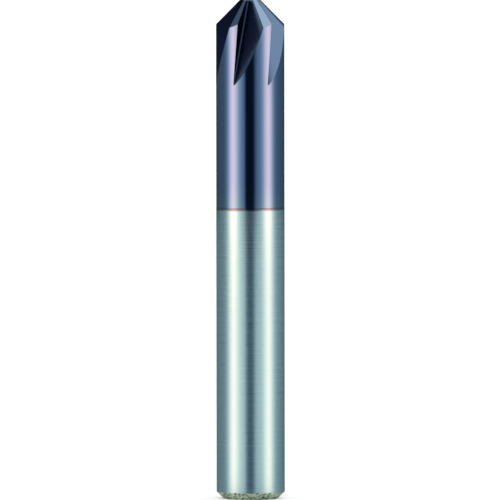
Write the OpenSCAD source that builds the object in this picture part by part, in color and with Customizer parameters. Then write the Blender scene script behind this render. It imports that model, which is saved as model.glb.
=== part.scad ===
// Chamfer mill ground from one solid carbide bar.
// A plain round shank carries a head of the same diameter, ground to a cone with a flat tip.
// Straight V-shaped flutes cut the cone into teeth and run out on the body behind it.
// The origin is the centre of the shank's end face and +Z runs along the axis to the tip.
// All sizes are in millimetres.

/* [Body] */

// Diameter of the shank and of the head
body_d = 10; // [8:0.5:16]
// Overall length
overall_length = 73; // [40:1:150]
// Width of the 45 degree chamfer round the shank's end face
end_chamfer = 1; // [0.1:0.1:2]

/* [Cone] */

// Full angle of the cone that the cutting edges lie on
point_angle = 90; // [80:1:96]
// Diameter of the flat tip
tip_d = 3; // [2.2:0.1:4]
// Angle that each land on the cone falls away behind its cutting edge
relief_angle = 20; // [10:0.5:21]
// Depth of the relief below the cone at the cutting edge
relief_set = 0.01; // [0.01:0.01:0.05]

/* [Flutes] */

// Number of flutes
flute_count = 6; // [4:1:6]
// Direction of the first cutting edge, turned from the X axis
edge_turn = 8.6; // [0:0.1:59.9]
// Angle that the rake face leans back under its cutting edge
rake_angle = 6.5; // [0:0.5:10]
// Angle between the rake face and the back face of a flute
flute_angle = 63; // [55:1:66]
// Depth of a flute square to the cutting edge at the tip
flute_depth = 0.91; // [0.6:0.01:1.1]
// Angle between the root of a flute and the cutting edge
root_angle = 26.2; // [23:0.1:30]
// Radius along the root of a flute
root_r = 0.1; // [0.05:0.01:0.3]

/* [Hidden] */

// Radius of the body and of the flat tip
body_r = body_d / 2;
tip_r = tip_d / 2;
// Half of the cone's angle and the cone's height
half_angle = point_angle / 2;
cone_height = (body_r - tip_r) / tan(half_angle);
// Distance from the root corner of the V to where the root radius touches its sides
root_touch = root_r / tan(flute_angle / 2);
// Reach of the cutting shapes beyond the body
reach = 2 * body_d;
// Sides of a circle where the shapes are drawn as meshes
round_sides = 180;

chamfer_mill();

// The finished mill
module chamfer_mill() {
    color([0.25, 0.31, 0.4])
        difference() {
            body_blank();
            for (i = [0:flute_count - 1]) {
                rotate([0, 0, edge_turn + i * 360 / flute_count]) {
                    flute_cut();
                    relief_cut();
                }
            }
        }
}

// Turned bar with the end chamfer, the cone and the flat tip
module body_blank() {
    rotate_extrude($fn = round_sides)
        polygon([
            [0, 0],
            [body_r - end_chamfer, 0],
            [body_r, end_chamfer],
            [body_r, overall_length - cone_height],
            [tip_r, overall_length],
            [0, overall_length]
        ]);
}

// Moves its children to a cutting edge: X runs along the edge from the tip to the body,
// Y points ahead of the edge into the flute and Z points square out of the cone
module at_cutting_edge() {
    translate([tip_r, 0, overall_length])
        rotate([0, 90 - half_angle, 0])
            children();
}

// V-shaped space of one flute, with its rake face through the cutting edge
module flute_cut() {
    at_cutting_edge()
        rotate([-rake_angle, 0, 0])
            translate([0, 0, -flute_depth])
                rotate([0, root_angle + 90, 0])
                    translate([0, 0, -reach / 2])
                        flute_bar();
}

// Straight bar with the section of a flute, root along Z and rake side towards -X
module flute_bar() {
    linear_extrude(height = 1.5 * reach)
        polygon([
            [-root_touch, 0],
            [-reach, 0],
            [-reach * cos(flute_angle), reach * sin(flute_angle)],
            [-root_touch * cos(flute_angle), root_touch * sin(flute_angle)]
        ]);
    translate([-root_touch, root_r, 0])
        cylinder(h = 1.5 * reach, r = root_r, $fn = 48);
}

// Space above the flat land behind one cutting edge
module relief_cut() {
    at_cutting_edge()
        translate([0, 0, -relief_set])
            rotate([relief_angle, 0, 0])
                translate([-body_r, -body_r, 0])
                    cube([reach, body_d, body_d]);
}
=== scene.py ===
"""Chamfer mill: the looks of a solid carbide chamfer mill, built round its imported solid.

The mill is turned as a blank, its flutes and relieved lands are ground out of it, and its
surfaces get their finish: a dark blue coat on the head, bare ground carbide on the shank and a
rough grey-green skin on the shank's end. The stage is a pale floor and a light tent.
All sizes are in metres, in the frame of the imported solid.
"""

import math

import bmesh
import bpy
from bpy.props import FloatProperty, FloatVectorProperty, IntProperty, PointerProperty
from mathutils import Matrix, Vector


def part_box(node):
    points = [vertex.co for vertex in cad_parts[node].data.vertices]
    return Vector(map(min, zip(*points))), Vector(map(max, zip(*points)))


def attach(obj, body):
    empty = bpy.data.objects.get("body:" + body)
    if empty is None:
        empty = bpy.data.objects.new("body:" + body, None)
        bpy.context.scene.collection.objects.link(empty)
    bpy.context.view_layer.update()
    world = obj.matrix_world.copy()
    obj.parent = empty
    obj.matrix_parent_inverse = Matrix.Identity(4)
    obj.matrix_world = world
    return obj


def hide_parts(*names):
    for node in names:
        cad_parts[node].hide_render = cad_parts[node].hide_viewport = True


bl_info = {
    "name": "Chamfer mill",
    "version": (1, 0, 0),
    "blender": (4, 5, 0),
    "location": "3D View > Sidebar > Chamfer mill",
    "description": "Builds a coated carbide chamfer mill with V flutes and a studio round it",
    "category": "Object",
}

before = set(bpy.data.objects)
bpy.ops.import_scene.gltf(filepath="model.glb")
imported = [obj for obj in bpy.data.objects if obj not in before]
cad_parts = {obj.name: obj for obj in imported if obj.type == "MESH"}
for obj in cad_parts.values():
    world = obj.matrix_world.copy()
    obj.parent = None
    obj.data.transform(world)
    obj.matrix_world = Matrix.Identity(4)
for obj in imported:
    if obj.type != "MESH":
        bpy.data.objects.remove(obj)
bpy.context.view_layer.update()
NODE = "chamfer_mill"
MILL = "mill"
LOW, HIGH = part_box(NODE)
MILL_R = (HIGH.x - LOW.x) / 2

MM = 0.001
# Corners closer together than this are made one.
MERGE_GAP = 0.0001 * MM
# Kinds of the mill's faces: the round body, the ground faces, the flat tip and the skinned end.
ROUND, GROUND, TIP, END = range(4)
# Names of the marks that the mill's surfaces carry for its material: the share of painted shade, the
# back faces and the place across the grinding lines.
SHADE, BACK, ACROSS = "shade", "back", "across"
# Rise of a face's normal: more than the first on the flat tip, less than the second on the end
# chamfer and the end face, less than the third on the end face alone, and within the fourth of
# level on the round body.
TIP_RISE = 0.99
END_RISE = -0.5
FLAT_END_RISE = -0.9
LEVEL_RISE = 0.01
# Height that the centres of the end's faces stay below, in widths of the end chamfer.
END_REACH = 1.01
# How closely the round body's normals follow the direction away from the axis, and how closely
# a flute's faces look along its rake or back direction.
OUTWARD_MATCH = 0.999
FLUTE_MATCH = 0.9999
# Share of the rake faces' painted shade on the rounded root of a flute, which dims the root's
# highlight.
ROOT_SHADE = 0.6


def length(name, text, default, low=0.0, high=10.0):
    """A property for a length in metres."""
    return FloatProperty(
        name=name, description=text, default=default, min=low, max=high,
        unit="LENGTH", subtype="DISTANCE", precision=5,
    )


def angle(name, text, degrees):
    """A property for an angle, given here in degrees."""
    return FloatProperty(
        name=name, description=text, default=math.radians(degrees),
        unit="ROTATION", subtype="ANGLE",
    )


def share(name, text, default, high=1.0):
    """A property for a plain number from nothing to high."""
    return FloatProperty(name=name, description=text, default=default, min=0.0, max=high)


def colour(name, text, default):
    """A property for a colour, in linear light."""
    return FloatVectorProperty(
        name=name, description=text, default=default, size=3, min=0.0, max=1.0, subtype="COLOR"
    )


class MillSizes(bpy.types.PropertyGroup):
    """Sizes of the mill's body, cone and flutes."""

    body_d: length("Body diameter", "Diameter of the shank and the head", HIGH.x - LOW.x)
    overall_length: length("Overall length", "Length from the shank's end to the tip", HIGH.z - LOW.z)
    end_chamfer: length("End chamfer", "Width of the chamfer round the shank's end", 1.0 * MM)
    point_angle: angle("Point angle", "Full angle of the cone with the cutting edges", 90)
    tip_d: length("Tip diameter", "Diameter of the flat tip", 3.0 * MM)
    relief_angle: angle("Relief angle", "Fall of each land behind its cutting edge", 20)
    relief_set: length("Relief set", "Depth of the relief at the cutting edge", 0.01 * MM)
    flute_count: IntProperty(name="Flutes", description="Number of flutes", default=6, min=4, max=6)
    edge_turn: angle("Edge turn", "Direction of the first cutting edge from the X axis", 8.6)
    rake_angle: angle("Rake angle", "Lean of the rake face under its cutting edge", 6.5)
    flute_angle: angle("Flute angle", "Angle between a flute's rake face and back face", 63)
    flute_depth: length("Flute depth", "Depth of a flute at the tip, square to the edge", 0.91 * MM)
    root_angle: angle("Root angle", "Angle between a flute's root and the cutting edge", 26.2)
    root_r: length("Root radius", "Radius along the root of a flute", 0.1 * MM)
    round_steps: IntProperty(
        name="Round steps", description="Facets round the body", default=512, min=64, max=1024
    )
    root_steps: IntProperty(
        name="Root steps", description="Facets round a flute's root", default=6, min=2, max=16
    )


class MillFinish(bpy.types.PropertyGroup):
    """Colours and finish of the mill's surfaces."""

    coat_length: length("Coat length", "Length of the coated head, from the tip", 30.88 * MM)
    band_width: length("Band width", "Width of the heat-tinted band where the coat ends", 0.62 * MM)
    fade_length: length("Fade length", "Length over which the coat thins towards the band", 3.0 * MM)
    coat_colour: colour("Coat", "Dark blue-grey coat of the head", (0.193, 0.265, 0.385))
    # Painted shade: the rake faces' colour is darkened to stand in for the dark surroundings they
    # reflect.
    rake_painted_shade_colour: colour(
        "Rake faces", "Nearly black coat of the faces under the edges", (0.013, 0.021, 0.041)
    )
    # Painted shade: back faces darken towards a flute's root, standing in for the shade and dark
    # reflections deep in the flute.
    root_painted_shade_colour: colour("Flute roots", "Dark coat in the depth of a flute", (0.05, 0.055, 0.06))
    thin_coat_colour: colour("Thin coat", "Coat just above the band", (0.205, 0.31, 0.385))
    violet_colour: colour("Violet", "Tint where the coat is thinnest", (0.16, 0.14, 0.26))
    bronze_colour: colour("Bronze", "Tint in the middle of the band", (0.25, 0.19, 0.18))
    straw_colour: colour("Straw", "Palest tint, next to the bare carbide", (0.36, 0.38, 0.27))
    bare_colour: colour("Bare carbide", "Ground carbide of the shank", (0.475, 0.645, 0.60))
    skin_pale_colour: colour("Skin, pale", "Pale grains of the shank's end", (0.68, 0.83, 0.60))
    skin_dark_colour: colour("Skin, dark", "Dark grains of the shank's end", (0.035, 0.09, 0.075))
    coat_roughness: share("Coat roughness", "Roughness of the coat", 0.1)
    back_roughness: share("Back roughness", "Roughness of the flutes' back faces", 0.19)
    bare_roughness: share("Bare roughness", "Roughness of the ground shank", 0.27)
    ground_contrast: share(
        "Ground contrast", "How much the grinding lines of the bare shank differ in roughness", 0.1
    )
    skin_roughness: share("Skin roughness", "Roughness of the skin on the shank's end", 0.7)
    skin_creep: length("Skin creep", "How far the rough skin reaches up the shank", 0.15 * MM)
    root_shade_width: length(
        "Root shade width", "How far the dark of a flute's root reaches up a back face", 1.1 * MM
    )


class StageLook(bpy.types.PropertyGroup):
    """Camera, floor and lights."""

    view_distance: length("View distance", "Distance of the camera from the mill", 1.4)
    view_rise: angle("View rise", "Angle of the camera above the horizon", 2.6)
    view_roll: angle("View roll", "Tilt of the picture", 0.07)
    view_height: length("View height", "Height that the picture takes in", 73.16 * MM)
    aim_x: length("Aim sideways", "Point that the camera looks at, sideways", -0.066 * MM, -1.0)
    aim_z: length("Aim height", "Point that the camera looks at, upwards", 36.37 * MM)
    floor_side: length("Floor side", "Side of the square floor", 40.0, 0.0, 100.0)
    floor_grey: share("Floor grey", "How pale the floor is", 0.82)
    floor_lift: share("Floor lift", "White that the floor shows besides its own light", 0.34)
    tent_r: length("Tent radius", "Radius of the light tent round the mill", 60.0 * MM)
    tent_height: length("Tent height", "Height of the light tent", 150.0 * MM)
    tent_foot: length("Tent foot", "Height where the tent's main cloth begins", 37.5 * MM)
    tent_split: length("Tent split", "Height where the tent's upper cloth begins", 84.0 * MM)
    tent_top: length("Tent top", "Height where the tent's top cloth begins", 99.0 * MM)
    tent_strength: share("Tent strength", "Strength of the light tent", 1.0, 20.0)
    sun_strength: share("Sun strength", "Strength of the soft light from above", 3.0, 20.0)
    sun_angle: angle("Sun angle", "How far the soft light spreads over the sky", 120)


def sizes():
    return bpy.context.scene.mill_sizes


def finish():
    return bpy.context.scene.mill_finish


def stage():
    return bpy.context.scene.mill_stage


def new_object(name, bm):
    """Makes an object from a bmesh and puts it in the scene."""
    mesh = bpy.data.meshes.new(name)
    bm.to_mesh(mesh)
    bm.free()
    made = bpy.data.objects.new(name, mesh)
    bpy.context.scene.collection.objects.link(made)
    return made


def cone_height(s):
    return (s.body_d - s.tip_d) / 2 / math.tan(s.point_angle / 2)


def spun(outline, steps):
    """Surface spun from a list of radii and heights."""
    bm = bmesh.new()
    points = [bm.verts.new((r, 0, z)) for r, z in outline]
    lines = [bm.edges.new(pair) for pair in zip(points, points[1:])]
    bmesh.ops.spin(
        bm, geom=points + lines, cent=(0, 0, 0), axis=(0, 0, 1), dvec=(0, 0, 0),
        angle=2 * math.pi, steps=steps, use_merge=True, use_duplicate=False,
    )
    bmesh.ops.remove_doubles(bm, verts=bm.verts, dist=MERGE_GAP)
    return bm


def turned_blank(s):
    """Bar with the end chamfer, the cone and the flat tip, spun from its half outline."""
    body_r = s.body_d / 2
    outline = [
        (body_r - s.end_chamfer, 0),
        (body_r, s.end_chamfer),
        (body_r, s.overall_length - cone_height(s)),
        (s.tip_d / 2, s.overall_length),
    ]
    bm = spun(outline, s.round_steps)
    bmesh.ops.holes_fill(bm, edges=[e for e in bm.edges if e.is_boundary], sides=0)
    bmesh.ops.recalc_face_normals(bm, faces=bm.faces)
    return bm


def turned(turn, axis):
    return Matrix.Rotation(turn, 4, axis)


def edge_frame(s, number):
    """Frame of one cutting edge: X runs down the edge from the tip, Y points ahead of the edge
    into the flute and Z points square out of the cone."""
    turn = s.edge_turn + number * 2 * math.pi / s.flute_count
    start = Matrix.Translation((s.tip_d / 2, 0, s.overall_length))
    return turned(turn, "Z") @ start @ turned(math.pi / 2 - s.point_angle / 2, "Y")


def root_frame(s, number):
    """Frame of one flute: Z runs down the root and the rake face lies on the -X side."""
    rake_frame = edge_frame(s, number) @ turned(-s.rake_angle, "X")
    drop = Matrix.Translation((0, 0, -s.flute_depth))
    return rake_frame @ drop @ turned(s.root_angle + math.pi / 2, "Y")


def flute_bar(s, number):
    """Bar with the V section of a flute and a rounded root, in its place."""
    reach = 2 * s.body_d
    bm = bmesh.new()
    section = [
        (0, 0, -reach / 2),
        (-reach, 0, -reach / 2),
        (-reach * math.cos(s.flute_angle), reach * math.sin(s.flute_angle), -reach / 2),
    ]
    face = bm.faces.new([bm.verts.new(p) for p in section])
    grown = bmesh.ops.extrude_face_region(bm, geom=[face])["geom"]
    moved = [g for g in grown if isinstance(g, bmesh.types.BMVert)]
    bmesh.ops.translate(bm, verts=moved, vec=(0, 0, 1.5 * reach))
    root = [e for e in bm.edges if all(v.co.xy.length < s.root_r / 2 for v in e.verts)]
    touch = s.root_r / math.tan(s.flute_angle / 2)
    bmesh.ops.bevel(
        bm, geom=root, offset=touch, offset_type="OFFSET", affect="EDGES",
        segments=s.root_steps, profile=0.5, material=-1,
    )
    bmesh.ops.recalc_face_normals(bm, faces=bm.faces)
    bm.transform(root_frame(s, number))
    return bm


def relief_block(s, number):
    """Block over the flat land behind one cutting edge, in its place."""
    bm = bmesh.new()
    bmesh.ops.create_cube(bm, size=1)
    bmesh.ops.scale(bm, verts=bm.verts, vec=(2 * s.body_d, s.body_d, s.body_d))
    bmesh.ops.translate(bm, verts=bm.verts, vec=(s.body_d / 2, 0, s.body_d / 2))
    place = edge_frame(s, number) @ Matrix.Translation((0, 0, -s.relief_set))
    bm.transform(place @ turned(s.relief_angle, "X"))
    return bm


def cut_away(target, cutters):
    """Takes the cutters' space out of the target and deletes the cutters."""
    tools = bpy.data.collections.new("cutters")
    for cutter in cutters:
        bpy.context.scene.collection.objects.unlink(cutter)
        tools.objects.link(cutter)
    cut = target.modifiers.new("cut", "BOOLEAN")
    cut.operation = "DIFFERENCE"
    cut.solver = "EXACT"
    cut.operand_type = "COLLECTION"
    cut.collection = tools
    bpy.context.view_layer.update()
    ready = target.evaluated_get(bpy.context.evaluated_depsgraph_get())
    mesh = bpy.data.meshes.new_from_object(ready)
    target.modifiers.clear()
    target.data = mesh
    for cutter in cutters:
        bpy.data.objects.remove(cutter)
    bpy.data.collections.remove(tools)


def kind_of(face, s):
    """Which of the mill's surfaces a face belongs to."""
    centre = face.calc_center_median()
    outward = Vector((centre.x, centre.y, 0)).normalized()
    rise = face.normal.z
    if rise < END_RISE and centre.z < END_REACH * s.end_chamfer:
        return END
    if rise > TIP_RISE:
        return TIP
    if abs(rise) < LEVEL_RISE and face.normal.dot(outward) > OUTWARD_MATCH:
        return ROUND
    return GROUND


def faces_along(face, directions):
    """Whether a face looks along one of some directions."""
    return any(face.normal.dot(d) > FLUTE_MATCH for d in directions)


def distance_from(point, frames):
    """Distance of a point from the nearest of some flute roots, given by their frames."""
    found = []
    for root in frames:
        along = root.to_3x3() @ Vector((0, 0, 1))
        step = point - root.translation
        found.append((step - step.dot(along) * along).length)
    return min(found)


def corner_look(face, kind, place, frames):
    """Normal of a face's corner, exact on the round surfaces, and the corner's place across the
    grinding lines."""
    outward = Vector((place.x, place.y, 0)).normalized()
    if kind == ROUND:
        return outward, place.z
    if kind == END and face.normal.z > FLAT_END_RISE:
        return (outward - Vector((0, 0, 1))).normalized(), place.z
    return face.normal.copy(), distance_from(place, frames)


def mark_surfaces(target, s):
    """Gives each face its material and its marks, and each corner its normal."""
    bm = bmesh.new()
    bm.from_mesh(target.data)
    bmesh.ops.dissolve_degenerate(bm, dist=MERGE_GAP, edges=bm.edges)
    shade = bm.faces.layers.float.new(SHADE)
    back = bm.faces.layers.float.new(BACK)
    across = bm.loops.layers.float.new(ACROSS)
    frames = [root_frame(s, i) for i in range(s.flute_count)]
    rakes = [f.to_3x3() @ Vector((0, 1, 0)) for f in frames]
    leaning = Vector((-math.sin(s.flute_angle), -math.cos(s.flute_angle), 0))
    backs = [f.to_3x3() @ leaning for f in frames]
    normals = []
    for face in bm.faces:
        kind = kind_of(face, s)
        face.smooth = True
        face.material_index = 1 if kind == END else 0
        near_root = all(distance_from(v.co, frames) < 2 * s.root_r for v in face.verts)
        # Rake faces get the full painted shade and rounded roots a share of it.
        if kind == GROUND and faces_along(face, rakes):
            face[shade] = 1.0
        elif kind == GROUND and faces_along(face, backs):
            face[back] = 1.0
        elif kind == GROUND and near_root:
            face[shade] = ROOT_SHADE
        for loop in face.loops:
            normal, loop[across] = corner_look(face, kind, loop.vert.co, frames)
            normals.append(normal)
    bm.to_mesh(target.data)
    bm.free()
    target.data.normals_split_custom_set(normals)


class Nodes:
    """Short calls for building one node tree."""

    def __init__(self, tree):
        self.tree = tree
        tree.nodes.clear()

    def add(self, kind, **settings):
        node = self.tree.nodes.new(kind)
        for name, value in settings.items():
            setattr(node, name, value)
        return node

    def join(self, output, socket):
        self.tree.links.new(output, socket)

    def place(self):
        """Place on the object's own axes."""
        return self.add("ShaderNodeTexCoord").outputs["Object"]

    def axes(self, place):
        """X, Y and Z of a place, by name."""
        node = self.add("ShaderNodeSeparateXYZ")
        self.join(place, node.inputs[0])
        return node.outputs

    def mark(self, name):
        """One of the marks that the surfaces carry."""
        return self.add("ShaderNodeAttribute", attribute_name=name).outputs["Fac"]

    def value(self, operation, first, second=None):
        """A Math node. An input is a number or another node's output."""
        node = self.add("ShaderNodeMath", operation=operation)
        for socket, given in zip(node.inputs, (first, second)):
            if isinstance(given, bpy.types.NodeSocket):
                self.join(given, socket)
            elif given is not None:
                socket.default_value = given
        return node.outputs[0]

    def spread(self, given, before, after=(0.0, 1.0), kind="LINEAR"):
        """A Map Range node, which takes a number from one range to another."""
        node = self.add("ShaderNodeMapRange", interpolation_type=kind)
        names = ("From Min", "From Max", "To Min", "To Max")
        for name, value in zip(names, (*before, *after)):
            node.inputs[name].default_value = value
        self.join(given, node.inputs["Value"])
        return node.outputs["Result"]

    def noise(self, given, grain, dimensions="3D", **settings):
        """A Noise node over a place, or in 1D over a distance, with the size of its grains."""
        node = self.add("ShaderNodeTexNoise", noise_dimensions=dimensions)
        node.inputs["Scale"].default_value = 1 / grain
        for name, value in settings.items():
            node.inputs[name].default_value = value
        self.join(given, node.inputs["W" if dimensions == "1D" else "Vector"])
        return node.outputs["Fac"]

    def ramp(self, factor, stops):
        """A colour ramp with a list of places and colours."""
        node = self.add("ShaderNodeValToRGB")
        scale = node.color_ramp
        while len(scale.elements) < len(stops):
            scale.elements.new(0.5)
        for element, (place, tone) in zip(scale.elements, stops):
            element.position = place
            element.color = (*tone, 1)
        self.join(factor, node.inputs["Fac"])
        return node.outputs["Color"]

    def mix(self, factor, first, second, kind="RGBA"):
        """A Mix node for colours or, with kind FLOAT, for numbers. An input may also be another
        node's output."""
        node = self.add("ShaderNodeMix", data_type=kind)
        offset = {"RGBA": 6, "FLOAT": 2}[kind]
        for index, given in ((0, factor), (offset, first), (offset + 1, second)):
            if isinstance(given, bpy.types.NodeSocket):
                self.join(given, node.inputs[index])
            else:
                is_colour = kind == "RGBA" and index > 0
                node.inputs[index].default_value = (*given, 1) if is_colour else given
        return node.outputs[2 if kind == "RGBA" else 0]

    def bump(self, height, strength, depth):
        """A Bump node. Gives the bent normal."""
        node = self.add("ShaderNodeBump")
        node.inputs["Strength"].default_value = strength
        node.inputs["Distance"].default_value = depth
        self.join(height, node.inputs["Height"])
        return node.outputs["Normal"]

    def show(self, shader, output="ShaderNodeOutputMaterial"):
        """Joins a shader to the tree's output."""
        self.join(shader.outputs[0], self.add(output).inputs["Surface"])


def material(name):
    made = bpy.data.materials.new(name)
    made.use_nodes = True
    return made, Nodes(made.node_tree)


# Size and depth of the skin's grains, and how strongly their depth shows.
GRAIN = 0.5 * MM
GRAIN_DEPTH = 0.06 * MM
GRAIN_STRENGTH = 0.6
# Height in the grain below which the skin covers the shank: at the top of the end chamfer, and
# where the skin's creep stops.
SKIN_COVER = (0.46, 0.20)
# How metallic the skin is. The rest of the mill is bare or coated metal.
SKIN_METALLIC = 0.2
# Length and height of the waves in the line where the coat ends.
WAVE_LENGTH = 2 * MM
WAVE_HEIGHT = 0.3 * MM
# Width and depth of the grinding lines, and how strongly their depth shows.
LINE_WIDTH = 0.025 * MM
LINE_DEPTH = 0.0006 * MM
LINE_STRENGTH = 0.16
# Range of the lines' noise over which their roughness changes.
LINE_RANGE = (0.4, 0.6)
# How dark the painted shade makes a back face at the root of its flute.
ROOT_DARK = 0.8


def skin(n, place, f):
    """Grain of the rough skin: its tint and its height."""
    height = n.noise(place, GRAIN, Detail=4, Roughness=0.6, Distortion=0.4)
    middle = tuple((a + b) / 2 for a, b in zip(f.skin_dark_colour, f.skin_pale_colour))
    stops = [(0.36, f.skin_dark_colour), (0.45, middle), (0.58, f.skin_pale_colour)]
    return n.ramp(height, stops), height


def carbide_material(s, f):
    """Coated head, heat-tinted band and bare ground shank, told apart by height."""
    made, n = material("coated_carbide")
    place = n.place()
    height = n.axes(place)["Z"]
    shade, back, across = (n.mark(name) for name in (SHADE, BACK, ACROSS))

    wave = n.value("SUBTRACT", n.noise(place, WAVE_LENGTH, Detail=3), 0.5)
    wavy_height = n.value("ADD", height, n.value("MULTIPLY", wave, WAVE_HEIGHT))
    above = n.value("SUBTRACT", wavy_height, s.overall_length - f.coat_length)
    span = f.band_width + f.fade_length
    band = f.band_width / span
    up = n.value("DIVIDE", above, span)
    tint = n.ramp(up, [
        (0.0, f.bare_colour),
        (0.30 * band, f.straw_colour),
        (0.58 * band, f.bronze_colour),
        (0.80 * band, f.violet_colour),
        (band, f.thin_coat_colour),
        (1.0, f.coat_colour),
    ])
    # Painted shade: back faces are darkened towards their flute's root, and the marked rake faces and
    # rounded roots are darkened too.
    near_root = n.spread(across, (f.root_shade_width, 0.0), kind="SMOOTHSTEP")
    back_root_painted_shade = n.value("MULTIPLY", n.value("MULTIPLY", near_root, back), ROOT_DARK)
    tint = n.mix(back_root_painted_shade, tint, f.root_painted_shade_colour)
    tint = n.mix(shade, tint, f.rake_painted_shade_colour)

    skin_tint, skin_height = skin(n, place, f)
    creep = (s.end_chamfer, s.end_chamfer + 2 * f.skin_creep)
    skinned = n.value("LESS_THAN", skin_height, n.spread(height, creep, SKIN_COVER))
    tint = n.mix(skinned, tint, skin_tint)
    metallic = n.value("SUBTRACT", 1.0, n.value("MULTIPLY", skinned, 1.0 - SKIN_METALLIC))

    lines = n.noise(across, LINE_WIDTH, "1D", Detail=3)
    bare_range = (f.bare_roughness - f.ground_contrast, f.bare_roughness + f.ground_contrast)
    rough = n.spread(lines, LINE_RANGE, bare_range)
    rough = n.mix(n.spread(up, (0.0, band)), rough, f.coat_roughness, "FLOAT")
    rough = n.mix(back, rough, f.back_roughness, "FLOAT")
    rough = n.mix(skinned, rough, f.skin_roughness, "FLOAT")

    shader = n.add("ShaderNodeBsdfPrincipled")
    n.join(tint, shader.inputs["Base Color"])
    n.join(metallic, shader.inputs["Metallic"])
    n.join(rough, shader.inputs["Roughness"])
    n.join(n.bump(lines, LINE_STRENGTH, LINE_DEPTH), shader.inputs["Normal"])
    n.show(shader)
    return made


def end_material(f):
    """Rough, mottled skin of the shank's end."""
    made, n = material("rough_skin")
    tint, height = skin(n, n.place(), f)
    shader = n.add("ShaderNodeBsdfPrincipled")
    shader.inputs["Metallic"].default_value = SKIN_METALLIC
    shader.inputs["Roughness"].default_value = f.skin_roughness
    n.join(tint, shader.inputs["Base Color"])
    n.join(n.bump(height, GRAIN_STRENGTH, GRAIN_DEPTH), shader.inputs["Normal"])
    n.show(shader)
    return made


def seen_directly(n):
    """One for rays from the camera and for those that metal or glass sends on, else nothing."""
    path = n.add("ShaderNodeLightPath")
    direct = n.value("MAXIMUM", path.outputs["Is Camera Ray"], path.outputs["Is Glossy Ray"])
    return n.value("MAXIMUM", direct, path.outputs["Is Transmission Ray"])


def floor_material(g):
    """Pale matt floor that shows white where no shadow falls."""
    made, n = material("pale_floor")
    matt = n.add("ShaderNodeBsdfDiffuse")
    matt.inputs["Color"].default_value = (g.floor_grey, g.floor_grey, g.floor_grey, 1)
    glow = n.add("ShaderNodeEmission")
    n.join(n.value("MULTIPLY", seen_directly(n), g.floor_lift), glow.inputs["Strength"])
    both = n.add("ShaderNodeAddShader")
    n.join(matt.outputs[0], both.inputs[0])
    n.join(glow.outputs[0], both.inputs[1])
    n.show(both)
    return made


# Brightness round the tent's main cloth, which the coat reflects: azimuth in degrees from the
# camera's side, positive to the camera's right, and the brightness there. Two tall soft strips stand
# on either side of a dark gap on the camera's side. The values are a solver's fit to the photo's
# pixel columns, rounded, and some were then changed.
WALL = (
    (-180, 1.50), (-171, 1.20), (-165, 0.05), (-128, 0.18), (-95, 0.27), (-83, 0.55), (-75, 1.08),
    (-67, 1.80), (-58, 2.32), (-50, 1.95), (-42, 1.38), (-34, 0.84), (-26, 0.56), (-20, 0.40),
    (-15, 0.03), (-8, 0.015), (7, 0.015), (12, 0.06), (18, 0.28), (25, 0.46), (33, 0.59), (41, 0.97),
    (50, 1.68), (60, 2.28), (68, 1.90), (77, 1.15), (85, 0.60), (95, 0.34), (120, 0.22), (145, 0.12),
    (165, 0.05), (180, 1.50),
)
# Brightness round the tent's lowest cloth, which the bare shank reflects. The base carries it on.
# It began from the main cloth's values and was then changed.
LOWER_WALL = (
    (-180, 1.50), (-171, 1.20), (-165, 0.12), (-128, 0.27), (-95, 0.29), (-83, 0.49), (-75, 0.95),
    (-67, 1.43), (-58, 1.75), (-50, 1.61), (-42, 1.24), (-34, 0.98), (-26, 0.87), (-19, 0.77),
    (-12, 0.08), (-6, 0.045), (6, 0.045), (10, 0.12), (16, 0.64), (25, 0.77), (33, 0.70), (41, 0.93),
    (50, 1.40), (60, 1.69), (68, 1.54), (77, 1.02), (85, 0.62), (95, 0.41), (120, 0.29), (145, 0.20),
    (165, 0.12), (180, 1.50),
)
# Brightness round the tent's upper cloth, which is dark on the left and pale on the right. It
# began as colours of the head's faces in the photo divided by the coat's colour.
UPPER_WALL = (
    (-180, 0.30), (-126, 0.26), (-108, 0.10), (-100, 0.03), (-90, 0.07), (-82, 0.20), (-70, 0.34),
    (-50, 0.50), (0, 0.60), (22, 0.86), (60, 0.95), (90, 0.70), (140, 0.36), (160, 0.08), (180, 0.30),
)
# Brightness round the tent's top cloth.
TOP_WALL = (
    (-180, 0.30), (-126, 0.26), (-112, 0.30), (-95, 0.60), (-70, 0.60), (-50, 0.50), (0, 0.60),
    (22, 0.86), (60, 0.95), (90, 0.70), (140, 0.36), (180, 0.30),
)
# Height over which the lowest cloth goes over into the main one on either side of where they
# meet, and the same for the cloths above.
FOOT_BLUR = 4 * MM
CLOTH_BLUR = 6 * MM
# Brightness of the base's plain tone, its share at the mill, and the distances from the axis
# between which it fades out.
BASE_LIGHT = 0.32
BASE_PLAIN = 0.7
BASE_FADE = (6 * MM, 28 * MM)
# How strongly the base's pattern is drawn in towards the camera at the mill.
BASE_DRAW = 1.15
# Height of the base above the floor and its inner radius, just outside the mill.
BASE_Z = 0.05 * MM
BASE_INNER_R = 5.2 * MM
# Brightness across the lid, from its far left to its near right edge, the direction in X and Y
# in which it grows, and the lid's tone.
LID = ((0.0, 0.45), (0.45, 0.78), (0.62, 1.55), (1.0, 1.60))
LID_DIRECTION = (0.86, -0.51)
LID_TONE = (1.0, 1.0, 0.93)
# Facets round the tent.
TENT_STEPS = 180
# Colour of the light by its brightness: blue where it is dim, warm in the bright strips. It began
# as colours of the photo's pixel columns divided by the coat's colour.
LIGHT_TONES = (
    (0.02, (0.50, 1.0, 2.00)), (0.045, (0.15, 1.0, 2.60)), (0.07, (0.55, 1.0, 1.80)),
    (0.2, (0.71, 1.0, 1.17)), (0.45, (0.76, 1.0, 1.31)), (0.7, (0.84, 1.0, 1.17)),
    (1.4, (1.07, 1.0, 0.96)), (1.8, (1.49, 1.0, 0.98)), (2.3, (1.41, 1.0, 0.87)),
)


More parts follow.
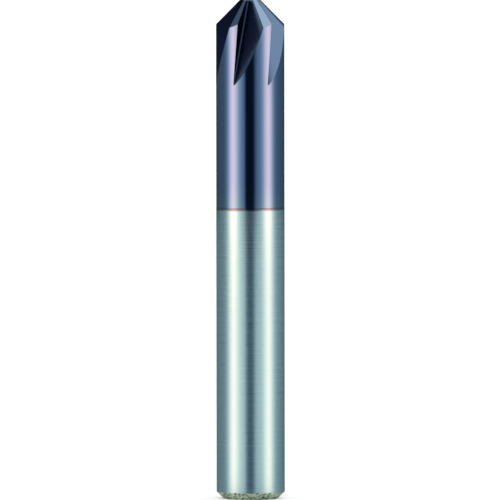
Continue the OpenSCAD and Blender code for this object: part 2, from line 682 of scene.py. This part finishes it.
def light_tone(brightness):
    """Colour of the tent's light at a brightness."""
    for (low, first), (high, second) in zip(LIGHT_TONES, LIGHT_TONES[1:]):
        if brightness <= high:
            break
    along = min(1.0, max(0.0, (brightness - low) / (high - low)))
    return tuple(brightness * (a + (b - a) * along) for a, b in zip(first, second))


def round_stops(table):
    """Stops of a colour ramp over the full turn."""
    return [((degrees + 180) / 360, light_tone(b)) for degrees, b in table]


def azimuth(n, axes):
    """Azimuth in radians, nothing at the camera's side."""
    return n.value("ARCTAN2", axes["X"], n.value("MULTIPLY", axes["Y"], -1))


def turn_share(n, turn):
    """An azimuth as a share of the full turn, a half at the camera's side."""
    return n.value("ADD", n.value("DIVIDE", turn, 2 * math.pi), 0.5)


def tent_material(name, g, pattern):
    """Glowing cloth. The pattern makes its colour from the place on the tent."""
    made, n = material(name)
    glow = n.add("ShaderNodeEmission")
    glow.inputs["Strength"].default_value = g.tent_strength
    n.join(pattern(n, n.place(), g), glow.inputs["Color"])
    n.show(glow)
    return made


def base_pattern(n, place, g):
    """The lowest cloth's pattern carried on over the base. Near the mill it is drawn in towards
    the camera, so that a strip's reflection stays straight down to the mill's foot, and it fades
    to a plain tone."""
    turn = azimuth(n, n.axes(place))
    length_of = n.add("ShaderNodeVectorMath", operation="LENGTH")
    n.join(place, length_of.inputs[0])
    radius = length_of.outputs["Value"]
    nearness = n.value("SUBTRACT", n.value("DIVIDE", MILL_R, radius), MILL_R / g.tent_r)
    drawn = n.value("MULTIPLY", n.value("SINE", n.value("MULTIPLY", turn, 0.5)), nearness)
    turn = n.value("ADD", turn, n.value("MULTIPLY", drawn, BASE_DRAW))
    plain = n.spread(radius, BASE_FADE, (BASE_PLAIN, 0.0), "SMOOTHSTEP")
    pattern = n.ramp(turn_share(n, turn), round_stops(LOWER_WALL))
    return n.mix(plain, pattern, light_tone(BASE_LIGHT))


def wall_pattern(n, place, g):
    """Four cloths above each other, each soft where it meets the next."""
    axes = n.axes(place)
    turn = turn_share(n, azimuth(n, axes))
    tone = n.ramp(turn, round_stops(LOWER_WALL))
    cloths = (
        (g.tent_foot, FOOT_BLUR, WALL),
        (g.tent_split, CLOTH_BLUR, UPPER_WALL),
        (g.tent_top, CLOTH_BLUR, TOP_WALL),
    )
    for height, blur, table in cloths:
        rise = n.spread(axes["Z"], (height - blur, height + blur), kind="SMOOTHSTEP")
        tone = n.mix(rise, tone, n.ramp(turn, round_stops(table)))
    return tone


def lid_pattern(n, place, g):
    """Cloth that is palest at its near right side."""
    axes = n.axes(place)
    parts = [n.value("MULTIPLY", axes[name], part) for name, part in zip("XY", LID_DIRECTION)]
    along = n.value("DIVIDE", n.value("ADD", *parts), 2 * g.tent_r)
    stops = [(at, tuple(b * tone for tone in LID_TONE)) for at, b in LID]
    return n.ramp(n.value("ADD", along, 0.5), stops)


def add_floor(g):
    bm = bmesh.new()
    bmesh.ops.create_grid(bm, x_segments=1, y_segments=1, size=g.floor_side / 2)
    floor = new_object("floor", bm)
    floor.data.materials.append(floor_material(g))
    return floor


def add_tent(g):
    """Base, wall and lid of the light tent. Only reflections see them."""
    cloths = {
        "tent_base": ([(BASE_INNER_R, BASE_Z), (g.tent_r, BASE_Z)], base_pattern),
        "tent_wall": ([(g.tent_r, BASE_Z), (g.tent_r, g.tent_height)], wall_pattern),
        "tent_lid": ([(g.tent_r, g.tent_height), (0, g.tent_height)], lid_pattern),
    }
    made = []
    for name, (outline, pattern) in cloths.items():
        cloth = new_object(name, spun(outline, TENT_STEPS))
        cloth.data.materials.append(tent_material(name, g, pattern))
        cloth.visible_camera = False
        cloth.visible_diffuse = False
        cloth.visible_transmission = False
        cloth.visible_shadow = False
        made.append(cloth)
    return made


def add_sun(g):
    """Soft light from above, for the floor's shadow and the matt surfaces."""
    sun = bpy.data.lights.new("sun", "SUN")
    sun.energy = g.sun_strength
    sun.angle = g.sun_angle
    holder = bpy.data.objects.new("sun", sun)
    holder.location = (0, 0, 1)
    holder.visible_glossy = False
    bpy.context.scene.collection.objects.link(holder)


def add_room():
    """White room that the camera, metal and glass see. The sun alone lights matt surfaces."""
    world = bpy.data.worlds.new("room")
    world.use_nodes = True
    n = Nodes(world.node_tree)
    white = n.add("ShaderNodeBackground")
    white.inputs["Color"].default_value = (1, 1, 1, 1)
    n.join(seen_directly(n), white.inputs["Strength"])
    n.show(white, "ShaderNodeOutputWorld")
    bpy.context.scene.world = world


# Width of the camera's picture plane in millimetres, and how far the camera sees.
SENSOR_WIDTH = 36.0
CAMERA_REACH = 100.0


def add_camera(g):
    """Long lens from the front, a little above the mill's middle."""
    camera = bpy.data.cameras.new("camera")
    camera.sensor_width = SENSOR_WIDTH
    camera.lens = SENSOR_WIDTH * g.view_distance / g.view_height
    camera.clip_end = CAMERA_REACH
    holder = bpy.data.objects.new("camera", camera)
    back = Vector((0, -math.cos(g.view_rise), math.sin(g.view_rise)))
    aim = Vector((g.aim_x, 0, g.aim_z))
    tilt = turned(math.pi / 2 - g.view_rise, "X") @ turned(-g.view_roll, "Z")
    holder.matrix_world = Matrix.Translation(aim + back * g.view_distance) @ tilt
    bpy.context.scene.collection.objects.link(holder)
    bpy.context.scene.camera = holder


class MILL_OT_turn_blank(bpy.types.Operator):
    """Turns the blank: shank, head, cone, flat tip and end chamfer"""

    bl_idname = "mill.turn_blank"
    bl_label = "Turn blank"

    def execute(self, context):
        new_object(MILL, turned_blank(sizes()))
        return {"FINISHED"}


class MILL_OT_grind_flutes(bpy.types.Operator):
    """Grinds the V flutes and the relieved lands out of the blank"""

    bl_idname = "mill.grind_flutes"
    bl_label = "Grind flutes"

    def execute(self, context):
        s = sizes()
        mill = bpy.data.objects[MILL]
        numbers = range(s.flute_count)
        cutters = [new_object("flute_cutter", flute_bar(s, i)) for i in numbers]
        cutters += [new_object("relief_cutter", relief_block(s, i)) for i in numbers]
        cut_away(mill, cutters)
        if len(mill.data.polygons) < s.round_steps:
            raise RuntimeError("the flutes could not be cut out of the blank")
        return {"FINISHED"}


class MILL_OT_finish_surfaces(bpy.types.Operator):
    """Marks the mill's surfaces, gives them their materials and sets the mill on its body"""

    bl_idname = "mill.finish_surfaces"
    bl_label = "Finish surfaces"

    def execute(self, context):
        mill = bpy.data.objects[MILL]
        mill.data.materials.clear()
        mill.data.materials.append(carbide_material(sizes(), finish()))
        mill.data.materials.append(end_material(finish()))
        mark_surfaces(mill, sizes())
        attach(mill, "root")
        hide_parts(NODE)
        return {"FINISHED"}


class MILL_OT_set_stage(bpy.types.Operator):
    """Adds the floor, the light tent, the lamp, the room's light and the camera"""

    bl_idname = "mill.set_stage"
    bl_label = "Set stage"

    def execute(self, context):
        g = stage()
        add_floor(g)
        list(add_tent(g))
        add_sun(g)
        add_room()
        add_camera(g)
        context.scene.view_settings.view_transform = "Standard"
        return {"FINISHED"}


OPERATORS = (MILL_OT_turn_blank, MILL_OT_grind_flutes, MILL_OT_finish_surfaces, MILL_OT_set_stage)


class MILL_PT_panel(bpy.types.Panel):
    """Lists the steps that build the mill and its stage"""

    bl_idname = "MILL_PT_panel"
    bl_label = "Chamfer mill"
    bl_space_type = "VIEW_3D"
    bl_region_type = "UI"
    bl_category = "Chamfer mill"

    def draw(self, context):
        for group in (sizes(), finish(), stage()):
            for name in group.__annotations__:
                self.layout.prop(group, name)
        for operator in OPERATORS:
            self.layout.operator(operator.bl_idname)


GROUPS = {"mill_sizes": MillSizes, "mill_finish": MillFinish, "mill_stage": StageLook}
CLASSES = (*GROUPS.values(), *OPERATORS, MILL_PT_panel)


def register():
    for item in CLASSES:
        bpy.utils.register_class(item)
    for name, group in GROUPS.items():
        setattr(bpy.types.Scene, name, PointerProperty(type=group))


def unregister():
    for name in GROUPS:
        delattr(bpy.types.Scene, name)
    for item in reversed(CLASSES):
        bpy.utils.unregister_class(item)


def main():
    register()
    bpy.ops.mill.turn_blank()
    bpy.ops.mill.grind_flutes()
    bpy.ops.mill.finish_surfaces()
    bpy.ops.mill.set_stage()


if __name__ == "__main__":
    main()
